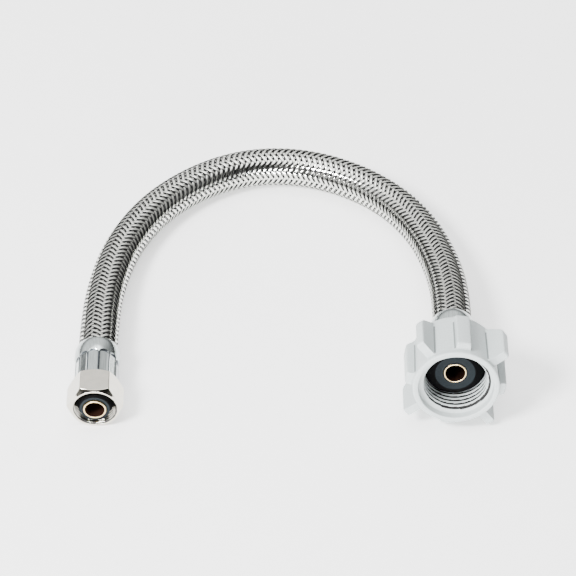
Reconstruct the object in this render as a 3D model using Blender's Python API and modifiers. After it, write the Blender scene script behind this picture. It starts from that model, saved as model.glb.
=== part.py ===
"""A braided stainless supply line for a toilet tank, 12 inches from end to end.

The hose lies in an arch on the floor. Its left end has a hex compression nut for the shut-off
valve, and its right end has a plastic wing nut for the tank's fill valve. Each nut turns freely
on a brass insert, which a crimped ferrule holds in the hose.

Metres, +Z up, with the floor at Z = 0. A fitting is built in the frame of its own end, whose
+Z points out of the mouth, so a station is a distance back from the mouth.
"""

import math

import bpy
import numpy as np

MM = 0.001
MERGE_DISTANCE = 0.00001
SHARP_ANGLE = math.radians(30)

# The two ends: where each mouth's centre is, and how its axis is tipped from straight up.
COMPRESSION_MOUTH = (-61.4 * MM, -15.2 * MM, 8.0 * MM)
COMPRESSION_TIP = math.radians(90)
BALLCOCK_MOUTH = (54.2 * MM, -16.0 * MM, 18.12 * MM)
BALLCOCK_TIP = math.radians(83.5)

NUT_STEPS = 48
FERRULE_STEPS = 36
INSERT_STEPS = 32
GAP = 0.3 * MM

# Water way, shared by both inserts.
BORE_RADIUS = 3.15 * MM
TIP_RADIUS = 3.7 * MM
NECK_RADIUS = 4.2 * MM
BARB_ROOT_RADIUS = 3.6 * MM
BARB_RADIUS = 3.85 * MM
BARB_PITCH = 2.4 * MM
BARB_COUNT = 5
BARB_START = 1.6 * MM

# Ferrule, shared by both ends, from its own front.
FERRULE_LENGTH = 15.3 * MM
FERRULE_WALL = 0.55 * MM
CRIMP_LENGTH = 9.7 * MM
CRIMP_INNER_RADIUS = 6.05 * MM
CRIMP_FLATS = 12
CRIMP_ACROSS_FLATS = 13.2 * MM
CRIMP_TURN = math.radians(8.4)
BULGE_STATION = 12.5 * MM
BULGE_RADIUS = 7.5 * MM
FERRULE_REAR_RADIUS = 7.25 * MM
LIP_RADIUS = 5.9 * MM

# Hose.
HOSE_RADIUS = 6.4 * MM
BRAID_WALL = 0.5 * MM
TUBE_RADIUS = 5.6 * MM
TUBE_WALL = 0.8 * MM
CRIMPED_BRAID_RADIUS = 5.75 * MM
CRIMPED_TUBE_RADIUS = 4.95 * MM
CRIMPED_LENGTH = 8.9 * MM
FULL_LENGTH = 11.7 * MM
HOSE_RINGS = 34
HOSE_BEVEL_RESOLUTION = 4
SPLINE_SAMPLES = 2000

# The hose's route, from the compression end to the wing nut's end.
HOSE_ROUTE = (
    (-0.0614, -0.0034, 0.0080),
    (-0.0614, 0.0037, 0.0080),
    (-0.0614, 0.0107, 0.0080),
    (-0.0612, 0.0223, 0.0078),
    (-0.0606, 0.0353, 0.0072),
    (-0.0589, 0.0482, 0.0067),
    (-0.0559, 0.0606, 0.0065),
    (-0.0511, 0.0723, 0.0065),
    (-0.0444, 0.0831, 0.0065),
    (-0.0356, 0.0925, 0.0065),
    (-0.0253, 0.0999, 0.0065),
    (-0.0139, 0.1046, 0.0065),
    (-0.0018, 0.1059, 0.0065),
    (0.0103, 0.1038, 0.0065),
    (0.0218, 0.0987, 0.0065),
    (0.0320, 0.0913, 0.0065),
    (0.0402, 0.0819, 0.0067),
    (0.0463, 0.0705, 0.0074),
    (0.0504, 0.0579, 0.0087),
    (0.0530, 0.0446, 0.0104),
    (0.0541, 0.0311, 0.0124),
    (0.0542, 0.0166, 0.0144),
    (0.0542, 0.0095, 0.0152),
    (0.0542, 0.0026, 0.0160),
)

# Compression nut and what is in it.
HEX_ACROSS_FLATS = 16.0 * MM
HEX_LENGTH = 10.4 * MM
HEX_FACE_RADIUS = 7.5 * MM
HEX_BLANK_RADIUS = 9.4 * MM
HEX_CHAMFER_ANGLE = math.radians(36)
HEX_MOUTH_RADIUS = 7.0 * MM
HEX_THREAD_RADIUS = 6.6 * MM
HEX_MOUTH_DEPTH = 0.6 * MM
HEX_WALL_STATION = 6.8 * MM
HEX_HOLE_RADIUS = 4.6 * MM
COMPRESSION_TIP_STATION = -0.6 * MM
COMPRESSION_FLANGE_STATION = 4.9 * MM
COMPRESSION_FLANGE_RADIUS = 5.9 * MM
COMPRESSION_FERRULE_STATION = 10.9 * MM
FLANGE_THICKNESS = 1.6 * MM

# Wing nut and what is in it.
RIM_RADIUS = 13.95 * MM
RIM_LENGTH = 0.9 * MM
WING_BODY_FRONT_RADIUS = 13.75 * MM
WING_BODY_RADIUS = 13.4 * MM
WING_BODY_STATION = 19.2 * MM
WING_BACK_RADIUS = 12.3 * MM
WING_NUT_LENGTH = 20.8 * MM
WING_MOUTH_RADIUS = 12.1 * MM
WING_MOUTH_DEPTH = 2.4 * MM
WING_THREAD_START = 2.8 * MM
WING_THREAD_RADIUS = 10.2 * MM
SHOULDER_STATION = 13.9 * MM
SHOULDER_REAR_STATION = 17.3 * MM
SHOULDER_HOLE_RADIUS = 4.7 * MM
COUNTERBORE_RADIUS = 8.2 * MM
WING_ROOT_RADIUS = 10.9 * MM
WING_EDGE_BEVEL = 0.5 * MM
WING_COUNT = 4
BALLCOCK_TIP_STATION = 7.5 * MM
BALLCOCK_FLANGE_STATION = 12.0 * MM
BALLCOCK_FLANGE_RADIUS = 9.4 * MM
BALLCOCK_FERRULE_STATION = 17.8 * MM

# A wing's side view as (radius, station) points along its outer edge, front to back.
LONG_WING_EDGE = (
    (19.9 * MM, 2.0 * MM),
    (19.9 * MM, 12.0 * MM),
    (19.55 * MM, 14.0 * MM),
    (18.5 * MM, 15.4 * MM),
    (13.0 * MM, 19.7 * MM),
)
LONG_WING_THICKNESS = 2.8 * MM
LONG_WING_START = math.radians(53.3)
SHORT_WING_EDGE = (
    (16.3 * MM, 2.0 * MM),
    (16.3 * MM, 16.2 * MM),
    (15.85 * MM, 17.5 * MM),
    (13.0 * MM, 19.9 * MM),
)
SHORT_WING_THICKNESS = 4.6 * MM
SHORT_WING_START = math.radians(8.3)


def clear_scene():
    for old_object in list(bpy.data.objects):
        bpy.data.objects.remove(old_object, do_unlink=True)


def new_collection(name):
    collection = bpy.data.collections.new(name)
    bpy.context.scene.collection.children.link(collection)
    return collection


def new_material(name, colour, roughness, metallic):
    material = bpy.data.materials.new(name)
    material.use_nodes = True
    shader = material.node_tree.nodes["Principled BSDF"]
    shader.inputs["Base Color"].default_value = (*colour, 1.0)
    shader.inputs["Roughness"].default_value = roughness
    shader.inputs["Metallic"].default_value = metallic
    return material


def new_end(name, mouth, tip):
    """An empty at a mouth's centre, with +Z out of the mouth and +Y on the upper side."""
    end = bpy.data.objects.new(name, None)
    end.location = mouth
    end.rotation_euler = (tip, 0.0, 0.0)
    parts.objects.link(end)
    return end


def add_part(name, mesh, material, end=None):
    part = bpy.data.objects.new(name, mesh)
    part.parent = end
    part.data.materials.append(material)
    parts.objects.link(part)
    return part


def add_cutter(name, mesh, end):
    cutter = bpy.data.objects.new(name, mesh)
    cutter.parent = end
    cutter.hide_render = True
    cutter.display_type = "WIRE"
    cutters.objects.link(cutter)
    return cutter


def profile_mesh(name, outline, closed=True):
    """The wire of an outline of (radius, station) points, front to back along its outer side."""
    mesh = bpy.data.meshes.new(name)
    points = [(radius, 0.0, -station) for radius, station in outline]
    edges = [(i, i + 1) for i in range(len(points) - 1)]
    if closed:
        edges.append((len(points) - 1, 0))
    mesh.from_pydata(points, edges, [])
    return mesh


def turn(piece, steps):
    screw = piece.modifiers.new("Turn", "SCREW")
    screw.steps = steps
    screw.render_steps = steps
    screw.use_merge_vertices = True
    screw.merge_threshold = MERGE_DISTANCE


def combine(piece, operation, other):
    boolean = piece.modifiers.new(other.name, "BOOLEAN")
    boolean.operation = operation
    boolean.solver = "EXACT"
    boolean.object = other


def apply_modifiers(piece):
    """Puts the modified shape in the piece's mesh, smooth with sharp creases."""
    depsgraph = bpy.context.evaluated_depsgraph_get()
    mesh = bpy.data.meshes.new_from_object(piece.evaluated_get(depsgraph))
    mesh.name = piece.name
    piece.modifiers.clear()
    piece.data = mesh
    mesh.shade_smooth()
    mesh.set_sharp_from_angle(angle=SHARP_ANGLE)


def polygon_blank(name, sides, outline, end):
    """A bar with flats: an outline turned in as few steps as the bar has sides."""
    blank = add_cutter(name, profile_mesh(name, outline, closed=False), end)
    turn(blank, sides)
    return blank


def corner_radius(across_flats, sides):
    return across_flats / 2 / math.cos(math.pi / sides)


def add_compression_nut(end, material):
    """A hex nut, chamfered on both faces, with its back wall turned in over the insert's flange."""
    chamfer = (HEX_BLANK_RADIUS - HEX_FACE_RADIUS) * math.tan(HEX_CHAMFER_ANGLE)
    outline = (
        (HEX_FACE_RADIUS, 0.0),
        (HEX_BLANK_RADIUS, chamfer),
        (HEX_BLANK_RADIUS, HEX_LENGTH - chamfer),
        (HEX_FACE_RADIUS, HEX_LENGTH),
        (HEX_HOLE_RADIUS, HEX_LENGTH),
        (HEX_HOLE_RADIUS, HEX_WALL_STATION),
        (HEX_THREAD_RADIUS, HEX_WALL_STATION),
        (HEX_THREAD_RADIUS, HEX_MOUTH_DEPTH),
        (HEX_MOUTH_RADIUS, 0.0),
    )
    nut = add_part("compression_nut", profile_mesh("compression_nut", outline), material, end)
    turn(nut, NUT_STEPS)
    corner = corner_radius(HEX_ACROSS_FLATS, 6)
    bar_outline = ((0.0, -MM), (corner, -MM), (corner, HEX_LENGTH + MM), (0.0, HEX_LENGTH + MM))
    combine(nut, "INTERSECT", polygon_blank("hex_bar", 6, bar_outline, end))
    apply_modifiers(nut)


def add_wing(name, edge, thickness, angle, end):
    """A flat plate through the axis, at an angle clockwise from the top as the mouth is seen."""
    outline = [(WING_ROOT_RADIUS, edge[0][1]), *edge, (WING_ROOT_RADIUS, edge[-1][1])]
    mesh = bpy.data.meshes.new(name)
    points = [(distance, 0.0, -station) for distance, station in outline]
    mesh.from_pydata(points, [], [range(len(points))])
    wing = add_cutter(name, mesh, end)
    wing.rotation_euler = (0.0, 0.0, math.pi / 2 - angle)
    plate = wing.modifiers.new("Plate", "SOLIDIFY")
    plate.thickness = thickness
    plate.offset = 0.0
    edges = wing.modifiers.new("Edges", "BEVEL")
    edges.width = WING_EDGE_BEVEL
    edges.segments = 1
    return wing


def add_wing_nut(end, material):
    """A rimmed plastic nut with four long thin wings between four short thick ones."""
    rounding = math.sqrt(0.5)
    back_corner_radius = WING_BACK_RADIUS + (WING_BODY_RADIUS - WING_BACK_RADIUS) * rounding
    back_corner_station = WING_BODY_STATION + (WING_NUT_LENGTH - WING_BODY_STATION) * rounding
    outline = (
        (RIM_RADIUS - WING_EDGE_BEVEL, 0.0),
        (RIM_RADIUS, WING_EDGE_BEVEL),
        (RIM_RADIUS, RIM_LENGTH),
        (WING_BODY_FRONT_RADIUS, RIM_LENGTH + WING_EDGE_BEVEL),
        (WING_BODY_RADIUS, WING_BODY_STATION),
        (back_corner_radius, back_corner_station),
        (WING_BACK_RADIUS, WING_NUT_LENGTH),
        (COUNTERBORE_RADIUS, WING_NUT_LENGTH),
        (COUNTERBORE_RADIUS, SHOULDER_REAR_STATION),
        (SHOULDER_HOLE_RADIUS, SHOULDER_REAR_STATION),
        (SHOULDER_HOLE_RADIUS, SHOULDER_STATION),
        (WING_THREAD_RADIUS, SHOULDER_STATION),
        (WING_THREAD_RADIUS, WING_THREAD_START),
        (WING_MOUTH_RADIUS, WING_MOUTH_DEPTH),
        (WING_MOUTH_RADIUS, 0.0),
    )
    nut = add_part("wing_nut", profile_mesh("wing_nut", outline), material, end)
    turn(nut, NUT_STEPS)
    for i in range(WING_COUNT):
        turned_by = 2 * math.pi * i / WING_COUNT
        long_angle = LONG_WING_START + turned_by
        short_angle = SHORT_WING_START + turned_by
        long_wing = add_wing(
            f"long_wing_{i + 1}", LONG_WING_EDGE, LONG_WING_THICKNESS, long_angle, end
        )
        short_wing = add_wing(
            f"short_wing_{i + 1}", SHORT_WING_EDGE, SHORT_WING_THICKNESS, short_angle, end
        )
        combine(nut, "UNION", long_wing)
        combine(nut, "UNION", short_wing)
    apply_modifiers(nut)


def add_insert(name, tip_station, flange_station, flange_radius, ferrule_station, end, material):
    """A tube with a flange that the nut pulls on, a neck for the ferrule's lip and a barbed tail."""
    flange_rear = flange_station + FLANGE_THICKNESS
    neck_rear = ferrule_station + FERRULE_WALL
    outline = [
        (TIP_RADIUS, tip_station),
        (TIP_RADIUS, flange_station),
        (flange_radius, flange_station),
        (flange_radius, flange_rear),
        (NECK_RADIUS, flange_rear),
        (NECK_RADIUS, neck_rear),
        (BARB_ROOT_RADIUS, neck_rear),
    ]
    for i in range(BARB_COUNT):
        barb_station = ferrule_station + BARB_START + i * BARB_PITCH
        outline.append((BARB_RADIUS, barb_station))
        outline.append((BARB_ROOT_RADIUS, barb_station + BARB_PITCH / 2))
    outline.append((BORE_RADIUS, barb_station + BARB_PITCH / 2))
    outline.append((BORE_RADIUS, tip_station))
    insert = add_part(name, profile_mesh(name, outline), material, end)
    turn(insert, INSERT_STEPS)
    apply_modifiers(insert)


def add_washer(name, front, shoulder, rear, face_radius, outer_radius, end, material):
    """A rubber cone washer that fits round the insert's tip, in front of its flange."""
    inner_radius = TIP_RADIUS + GAP
    outline = (
        (face_radius, front),
        (outer_radius, shoulder),
        (outer_radius, rear),
        (inner_radius, rear),
        (inner_radius, front),
    )
    washer = add_part(name, profile_mesh(name, outline), material, end)
    turn(washer, INSERT_STEPS)
    apply_modifiers(washer)


def add_ferrule(name, front, end, material):
    """A steel cup with a lip in front, a crimped barrel with flats, and a bulge left uncrimped."""
    corner = corner_radius(CRIMP_ACROSS_FLATS, CRIMP_FLATS)
    lip_inner_radius = NECK_RADIUS + GAP
    outline = (
        (LIP_RADIUS, front),
        (corner, front + FERRULE_WALL),
        (corner, front + CRIMP_LENGTH),
        (BULGE_RADIUS, front + BULGE_STATION),
        (FERRULE_REAR_RADIUS, front + FERRULE_LENGTH),
        (FERRULE_REAR_RADIUS - FERRULE_WALL, front + FERRULE_LENGTH),
        (BULGE_RADIUS - FERRULE_WALL, front + BULGE_STATION),
        (CRIMP_INNER_RADIUS, front + CRIMP_LENGTH),
        (CRIMP_INNER_RADIUS, front + FERRULE_WALL),
        (lip_inner_radius, front + FERRULE_WALL),
        (lip_inner_radius, front),
    )
    ferrule = add_part(name, profile_mesh(name, outline), material, end)
    turn(ferrule, FERRULE_STEPS)
    wide = corner_radius(2 * BULGE_RADIUS + MM, CRIMP_FLATS)
    die_outline = (
        (0.0, front - MM),
        (corner, front - MM),
        (corner, front + CRIMP_LENGTH - MM),
        (wide, front + BULGE_STATION),
        (wide, front + FERRULE_LENGTH + MM),
        (0.0, front + FERRULE_LENGTH + MM),
    )
    die = polygon_blank(f"{name}_die", CRIMP_FLATS, die_outline, end)
    die.rotation_euler = (0.0, 0.0, CRIMP_TURN - math.pi / CRIMP_FLATS)
    combine(ferrule, "INTERSECT", die)
    apply_modifiers(ferrule)


def smooth_route(points, samples):
    """Points on a natural cubic spline through the route, spaced by its chord lengths."""
    points = np.array(points)
    knots = np.concatenate(([0.0], np.cumsum(np.linalg.norm(np.diff(points, axis=0), axis=1))))
    steps = np.diff(knots)
    count = len(points)
    matrix = np.eye(count)
    right_side = np.zeros((count, 3))
    for i in range(1, count - 1):
        matrix[i, i - 1] = steps[i - 1]
        matrix[i, i] = 2 * (steps[i - 1] + steps[i])
        matrix[i, i + 1] = steps[i]
        slope_change = (points[i + 1] - points[i]) / steps[i] - (points[i] - points[i - 1]) / steps[i - 1]
        right_side[i] = 6 * slope_change
    curvature = np.linalg.solve(matrix, right_side)
    places = np.linspace(0.0, knots[-1], samples)
    spans = np.clip(np.searchsorted(knots, places, side="right") - 1, 0, count - 2)
    step = steps[spans][:, None]
    after = places[:, None] - knots[spans][:, None]
    before = step - after
    return (
        curvature[spans] * before**3 / (6 * step)
        + curvature[spans + 1] * after**3 / (6 * step)
        + (points[spans] / step - curvature[spans] * step / 6) * before
        + (points[spans + 1] / step - curvature[spans + 1] * step / 6) * after
    )


def hose_rings():
    """The hose's ring centres, and for each whether it is crimped in a ferrule."""
    line = smooth_route(HOSE_ROUTE, SPLINE_SAMPLES)
    along = np.concatenate(([0.0], np.cumsum(np.linalg.norm(np.diff(line, axis=0), axis=1))))
    length = along[-1]
    free = np.linspace(FULL_LENGTH, length - FULL_LENGTH, HOSE_RINGS)
    near_end = [0.0, CRIMPED_LENGTH]
    far_end = [length - CRIMPED_LENGTH, length]
    stations = np.concatenate((near_end, free, far_end))
    centres = np.column_stack([np.interp(stations, along, line[:, axis]) for axis in range(3)])
    crimped = np.minimum(stations, length - stations) < FULL_LENGTH - MM
    return centres, crimped


def add_hose_layer(name, radius, crimped_radius, wall, material):
    """A hollow tube along the route, drawn in where the ferrules grip it."""
    centres, crimped = hose_rings()
    curve = bpy.data.curves.new(f"{name}_line", "CURVE")
    curve.dimensions = "3D"
    curve.bevel_depth = radius
    curve.bevel_resolution = HOSE_BEVEL_RESOLUTION
    spline = curve.splines.new("POLY")
    spline.points.add(len(centres) - 1)
    for point, centre, is_crimped in zip(spline.points, centres, crimped):
        point.co = (*centre, 1.0)
        point.radius = crimped_radius / radius if is_crimped else 1.0
    line = bpy.data.objects.new(f"{name}_line", curve)
    parts.objects.link(line)
    depsgraph = bpy.context.evaluated_depsgraph_get()
    surface = bpy.data.meshes.new_from_object(line.evaluated_get(depsgraph))
    bpy.data.objects.remove(line, do_unlink=True)
    layer = add_part(name, surface, material)
    solidify = layer.modifiers.new("Wall", "SOLIDIFY")
    solidify.thickness = wall
    solidify.offset = -1.0
    apply_modifiers(layer)


clear_scene()
parts = new_collection("braided_supply_line")
cutters = new_collection("cutters")

nickel = new_material("polished_nickel", (0.72, 0.70, 0.66), 0.18, 1.0)
brass = new_material("brass", (0.80, 0.68, 0.42), 0.30, 1.0)
rubber = new_material("dark_rubber", (0.035, 0.045, 0.055), 0.60, 0.0)
ferrule_steel = new_material("ferrule_steel", (0.52, 0.55, 0.58), 0.28, 1.0)
grey_plastic = new_material("grey_plastic", (0.60, 0.63, 0.63), 0.50, 0.0)
braid_steel = new_material("braided_steel", (0.70, 0.70, 0.70), 0.25, 1.0)
tube_rubber = new_material("tube_rubber", (0.02, 0.02, 0.022), 0.50, 0.0)

compression_end = new_end("compression_end", COMPRESSION_MOUTH, COMPRESSION_TIP)
add_compression_nut(compression_end, nickel)
add_insert(
    "compression_insert",
    COMPRESSION_TIP_STATION,
    COMPRESSION_FLANGE_STATION,
    COMPRESSION_FLANGE_RADIUS,
    COMPRESSION_FERRULE_STATION,
    compression_end,
    brass,
)
add_washer(
    "compression_washer", 0.0, 3.8 * MM, 4.6 * MM, 4.7 * MM, 6.2 * MM, compression_end, rubber
)
add_ferrule("compression_ferrule", COMPRESSION_FERRULE_STATION, compression_end, ferrule_steel)

ballcock_end = new_end("ballcock_end", BALLCOCK_MOUTH, BALLCOCK_TIP)
add_wing_nut(ballcock_end, grey_plastic)
add_insert(
    "ballcock_insert",
    BALLCOCK_TIP_STATION,
    BALLCOCK_FLANGE_STATION,
    BALLCOCK_FLANGE_RADIUS,
    BALLCOCK_FERRULE_STATION,
    ballcock_end,
    brass,
)
add_washer(
    "ballcock_washer", 7.7 * MM, 10.4 * MM, 11.7 * MM, 6.5 * MM, 9.9 * MM, ballcock_end, rubber
)
add_ferrule("ballcock_ferrule", BALLCOCK_FERRULE_STATION, ballcock_end, ferrule_steel)

add_hose_layer("inner_tube", TUBE_RADIUS, CRIMPED_TUBE_RADIUS, TUBE_WALL, tube_rubber)
add_hose_layer("braid_sleeve", HOSE_RADIUS, CRIMPED_BRAID_RADIUS, BRAID_WALL, braid_steel)
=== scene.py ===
import math

import bmesh
import bpy
import numpy as np
from mathutils import Euler, Matrix, Vector


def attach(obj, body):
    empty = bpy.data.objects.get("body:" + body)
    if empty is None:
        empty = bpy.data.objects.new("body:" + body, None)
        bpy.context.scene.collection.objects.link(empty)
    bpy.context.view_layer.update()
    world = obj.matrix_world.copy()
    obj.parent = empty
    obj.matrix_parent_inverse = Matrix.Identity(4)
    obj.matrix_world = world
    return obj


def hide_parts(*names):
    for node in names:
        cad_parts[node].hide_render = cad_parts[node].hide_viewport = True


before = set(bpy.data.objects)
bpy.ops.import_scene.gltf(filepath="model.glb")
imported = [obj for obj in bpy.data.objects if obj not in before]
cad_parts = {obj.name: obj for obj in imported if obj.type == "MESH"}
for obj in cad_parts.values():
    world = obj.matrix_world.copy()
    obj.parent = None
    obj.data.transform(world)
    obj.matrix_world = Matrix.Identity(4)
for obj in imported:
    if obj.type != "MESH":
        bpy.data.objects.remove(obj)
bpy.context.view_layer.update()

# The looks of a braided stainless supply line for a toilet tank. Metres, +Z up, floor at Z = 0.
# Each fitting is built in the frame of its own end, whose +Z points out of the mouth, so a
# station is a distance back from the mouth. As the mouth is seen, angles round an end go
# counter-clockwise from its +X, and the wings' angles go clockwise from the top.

MM = 0.001

# The two ends: each mouth's centre, and how its axis is tipped from straight up.
COMPRESSION_MOUTH = Vector((-61.4, -15.2, 8.0)) * MM
COMPRESSION_TIP = math.radians(90)
BALLCOCK_MOUTH = Vector((54.2, -16.0, 18.12)) * MM
BALLCOCK_TIP = math.radians(83.5)

# The hose's route, from the compression end to the wing nut's end.
HOSE_ROUTE = (
    (-0.0614, -0.0034, 0.0080),
    (-0.0614, 0.0037, 0.0080),
    (-0.0614, 0.0107, 0.0080),
    (-0.0612, 0.0223, 0.0078),
    (-0.0606, 0.0353, 0.0072),
    (-0.0589, 0.0482, 0.0067),
    (-0.0559, 0.0606, 0.0065),
    (-0.0511, 0.0723, 0.0065),
    (-0.0444, 0.0831, 0.0065),
    (-0.0356, 0.0925, 0.0065),
    (-0.0253, 0.0999, 0.0065),
    (-0.0139, 0.1046, 0.0065),
    (-0.0018, 0.1059, 0.0065),
    (0.0103, 0.1038, 0.0065),
    (0.0218, 0.0987, 0.0065),
    (0.0320, 0.0913, 0.0065),
    (0.0402, 0.0819, 0.0067),
    (0.0463, 0.0705, 0.0074),
    (0.0504, 0.0579, 0.0087),
    (0.0530, 0.0446, 0.0104),
    (0.0541, 0.0311, 0.0124),
    (0.0542, 0.0166, 0.0144),
    (0.0542, 0.0095, 0.0152),
    (0.0542, 0.0026, 0.0160),
)
SPLINE_SAMPLES = 2400

# Hose and braid.
CARRIERS = 12
LEAD = 24.6 * MM
STEPS_PER_LEAD = 48
BRAID_MID_RADIUS = 6.12 * MM
FLOAT_HEIGHT = 0.17 * MM
CRIMPED_SHRINK = 0.898
CRIMPED_LENGTH = 8.9 * MM
FULL_LENGTH = 11.7 * MM
BUNDLE_WIDTH = 1.44 * MM
UNDERSIDE_SHARE = 0.48
WIRES = 6
SHADED_STRIPS = 3
WIRE_TOP = 0.12 * MM
WIRE_VALLEY = 0.0
BUNDLE_UNDERSIDE = 0.11 * MM
BUNDLE_CROWN = 0.2 * MM
BRAID_START_ANGLE = math.radians(-38.5)
BRAID_TWIST = math.radians(-25)

# Rounding of turned pieces. An arc takes up at most this share of half of either side.
ARC_STEPS = 4
ARC_REACH = 0.9
SUPPORT_ROOM = 0.25 * MM
SUPPORT_GAP = 0.08 * MM

# Water way, shared by both inserts.
BORE_RADIUS = 3.15 * MM
TIP_RADIUS = 3.7 * MM
NECK_RADIUS = 4.2 * MM
BARB_ROOT_RADIUS = 3.6 * MM
BARB_RADIUS = 3.85 * MM
BARB_PITCH = 2.4 * MM
BARB_COUNT = 5
BARB_START = 1.6 * MM
FLANGE_THICKNESS = 1.6 * MM
TIP_ROUNDING = 0.25 * MM
BARB_ROUNDING = 0.05 * MM
EDGE_ROUNDING = 0.15 * MM
BORE_MARGIN = 0.02 * MM
INSERT_STEPS = 128

# Cone washers. The roundings follow the outline: front, shoulder, rear, and the hole's rear and front.
WASHER_GAP = 0.1 * MM
WASHER_FACE_MARGIN = 0.05 * MM
WASHER_ROUNDINGS = (0.35 * MM, 0.3 * MM, 0.3 * MM, 0.1 * MM, 0.25 * MM)

# Ferrule, shared by both ends, from its own front.
FERRULE_LENGTH = 15.3 * MM
FERRULE_WALL = 0.55 * MM
CRIMP_FLATS = 12
CRIMP_TURN = math.radians(8.4)
CRIMP_APOTHEM = 6.6 * MM
CRIMP_INNER_RADIUS = 6.05 * MM
CRIMP_LENGTH = 9.4 * MM
SCOOP_LENGTH = 1.3 * MM
SCOOP_ROUNDNESS = 0.98
SCOOP_RISE = 0.8 * MM
RIB_HEIGHT = 0.22 * MM
RIB_WIDTH = 0.32 * MM
# The ferrule is shaded this far beside each rib, and over this share of each scoop's rise.
RIB_SHADE = 0.18 * MM
SCOOP_SHADE = (0.03, 0.6)
BULGE_STATION = 12.6 * MM
BULGE_RADIUS = 7.5 * MM
BULGE_INNER_RADIUS = 6.95 * MM
FERRULE_REAR_RADIUS = 7.1 * MM
FERRULE_REAR_INNER_RADIUS = 6.7 * MM
FERRULE_REAR_CROWN = 0.12 * MM
FERRULE_REAR_HALF_FLAT = 0.1 * MM
LIP_RADIUS = 5.9 * MM
LIP_INNER_RADIUS = 4.5 * MM
LIP_ROWS = 5
FERRULE_STEPS = 288
FERRULE_STATIONS = np.concatenate(
    (
        np.linspace(FERRULE_WALL, CRIMP_LENGTH - SCOOP_LENGTH, 11)[1:],
        np.linspace(CRIMP_LENGTH - SCOOP_LENGTH, CRIMP_LENGTH + SCOOP_RISE, 70)[1:],
        np.linspace(CRIMP_LENGTH + SCOOP_RISE, FERRULE_LENGTH, 24)[1:],
    )
)

# Both threads. A groove slopes over this stretch between crest and root, and is shaded where it
# is deeper than this share of its depth.
GROOVE_SLOPE = (0.08, 0.92)
GROOVE_SHADE = 0.28

# Compression nut.
HEX_ACROSS_FLATS = 16.0 * MM
HEX_LENGTH = 10.4 * MM
HEX_FACE_RADIUS = 7.5 * MM
HEX_CHAMFER_ANGLE = math.radians(36)
HEX_CORNER_SOFTNESS = 0.12 * MM
HEX_CHAMFER_SOFTNESS = 0.08 * MM
# How far from either face of the nut the rows of its chamfer are.
HEX_CHAMFER_DEPTHS = np.append(np.linspace(0.0, 1.15, 24), 1.5) * MM
HEX_FACE_BREAK = 0.12 * MM
HEX_EDGE_BREAK = 0.1 * MM
HEX_MOUTH_RADIUS = 7.0 * MM
HEX_MOUTH_DEPTH = 0.6 * MM
HEX_THREAD_MINOR = 6.57 * MM
HEX_THREAD_MAJOR = 7.14 * MM
HEX_THREAD_PITCH = 1.058 * MM
HEX_WALL_STATION = 6.8 * MM
HEX_WALL_GAP = 0.05 * MM
HEX_HOLE_RADIUS = 4.6 * MM
HEX_STEPS = 240
HEX_ROWS_PER_PITCH = 18
COMPRESSION_TIP_STATION = -0.6 * MM
COMPRESSION_FLANGE_STATION = 4.9 * MM
COMPRESSION_FLANGE_RADIUS = 5.9 * MM
COMPRESSION_FERRULE_STATION = 10.9 * MM
COMPRESSION_WASHER_STATIONS = (0.0, 3.8 * MM, 4.6 * MM)
COMPRESSION_WASHER_RADII = (4.9 * MM, 6.2 * MM)

# Wing nut.
RIM_RADIUS = 13.95 * MM
RIM_LENGTH = 0.9 * MM
RIM_ROUNDING = 0.5 * MM
RIM_STEP_LENGTH = 0.5 * MM
RIM_STATIONS = np.array((0, 0.04, 0.1, 0.2, 0.35, 0.5, 0.85, 1, 1.15, 1.3, 1.45, 1.6, 1.9, 1.98)) * MM
WING_BODY_FRONT_RADIUS = 13.75 * MM
WING_BODY_RADIUS = 13.4 * MM
WING_BODY_STATION = 19.2 * MM
WING_BACK_RADIUS = 12.3 * MM
WING_TAIL_END = 20.0 * MM
WING_BACK_START = 20.15 * MM
WING_NUT_LENGTH = 20.8 * MM
WING_MOUTH_RADIUS = 12.1 * MM
WING_MOUTH_DEPTH = 2.4 * MM
WING_THREAD_START = 2.8 * MM
WING_THREAD_END = 10.9 * MM
WING_THREAD_MINOR = 10.2 * MM
WING_THREAD_MAJOR = 11.2 * MM
WING_THREAD_PITCH = 1.814 * MM
LEAD_IN_SLOPE = 3.0
SHOULDER_STATION = 13.9 * MM
SHOULDER_REAR_STATION = 17.3 * MM
SHOULDER_HOLE_RADIUS = 4.7 * MM
COUNTERBORE_RADIUS = 8.2 * MM
COUNTERBORE_BREAK = 0.2 * MM
# How the recess opens out at the mouth, as (station, widening) points from its wall to the rim.
MOUTH_BREAK = ((0.3 * MM, 0.0), (0.1 * MM, 0.05 * MM), (0.0, 0.2 * MM))
# The threaded lining is sunk this far into the shell, outwards and at its rear.
LINING_DEPTH = 0.5 * MM
LINING_REAR_DEPTH = 0.3 * MM
WING_FRONT_ROUNDING = 0.9 * MM
WING_ROUNDING = 0.45 * MM
WING_FILLET = 0.5 * MM
WING_PAIRS = 4
# How finely the wings and the gaps between them are divided, with rows close beside each arc.
WING_ARC_STEPS = 4
WING_SUPPORT = 0.1 * MM
WING_TOP_SHARE = 0.35
WING_LEAST_HEIGHT = 0.004 * MM
WING_GAP_STEPS = 8
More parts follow.
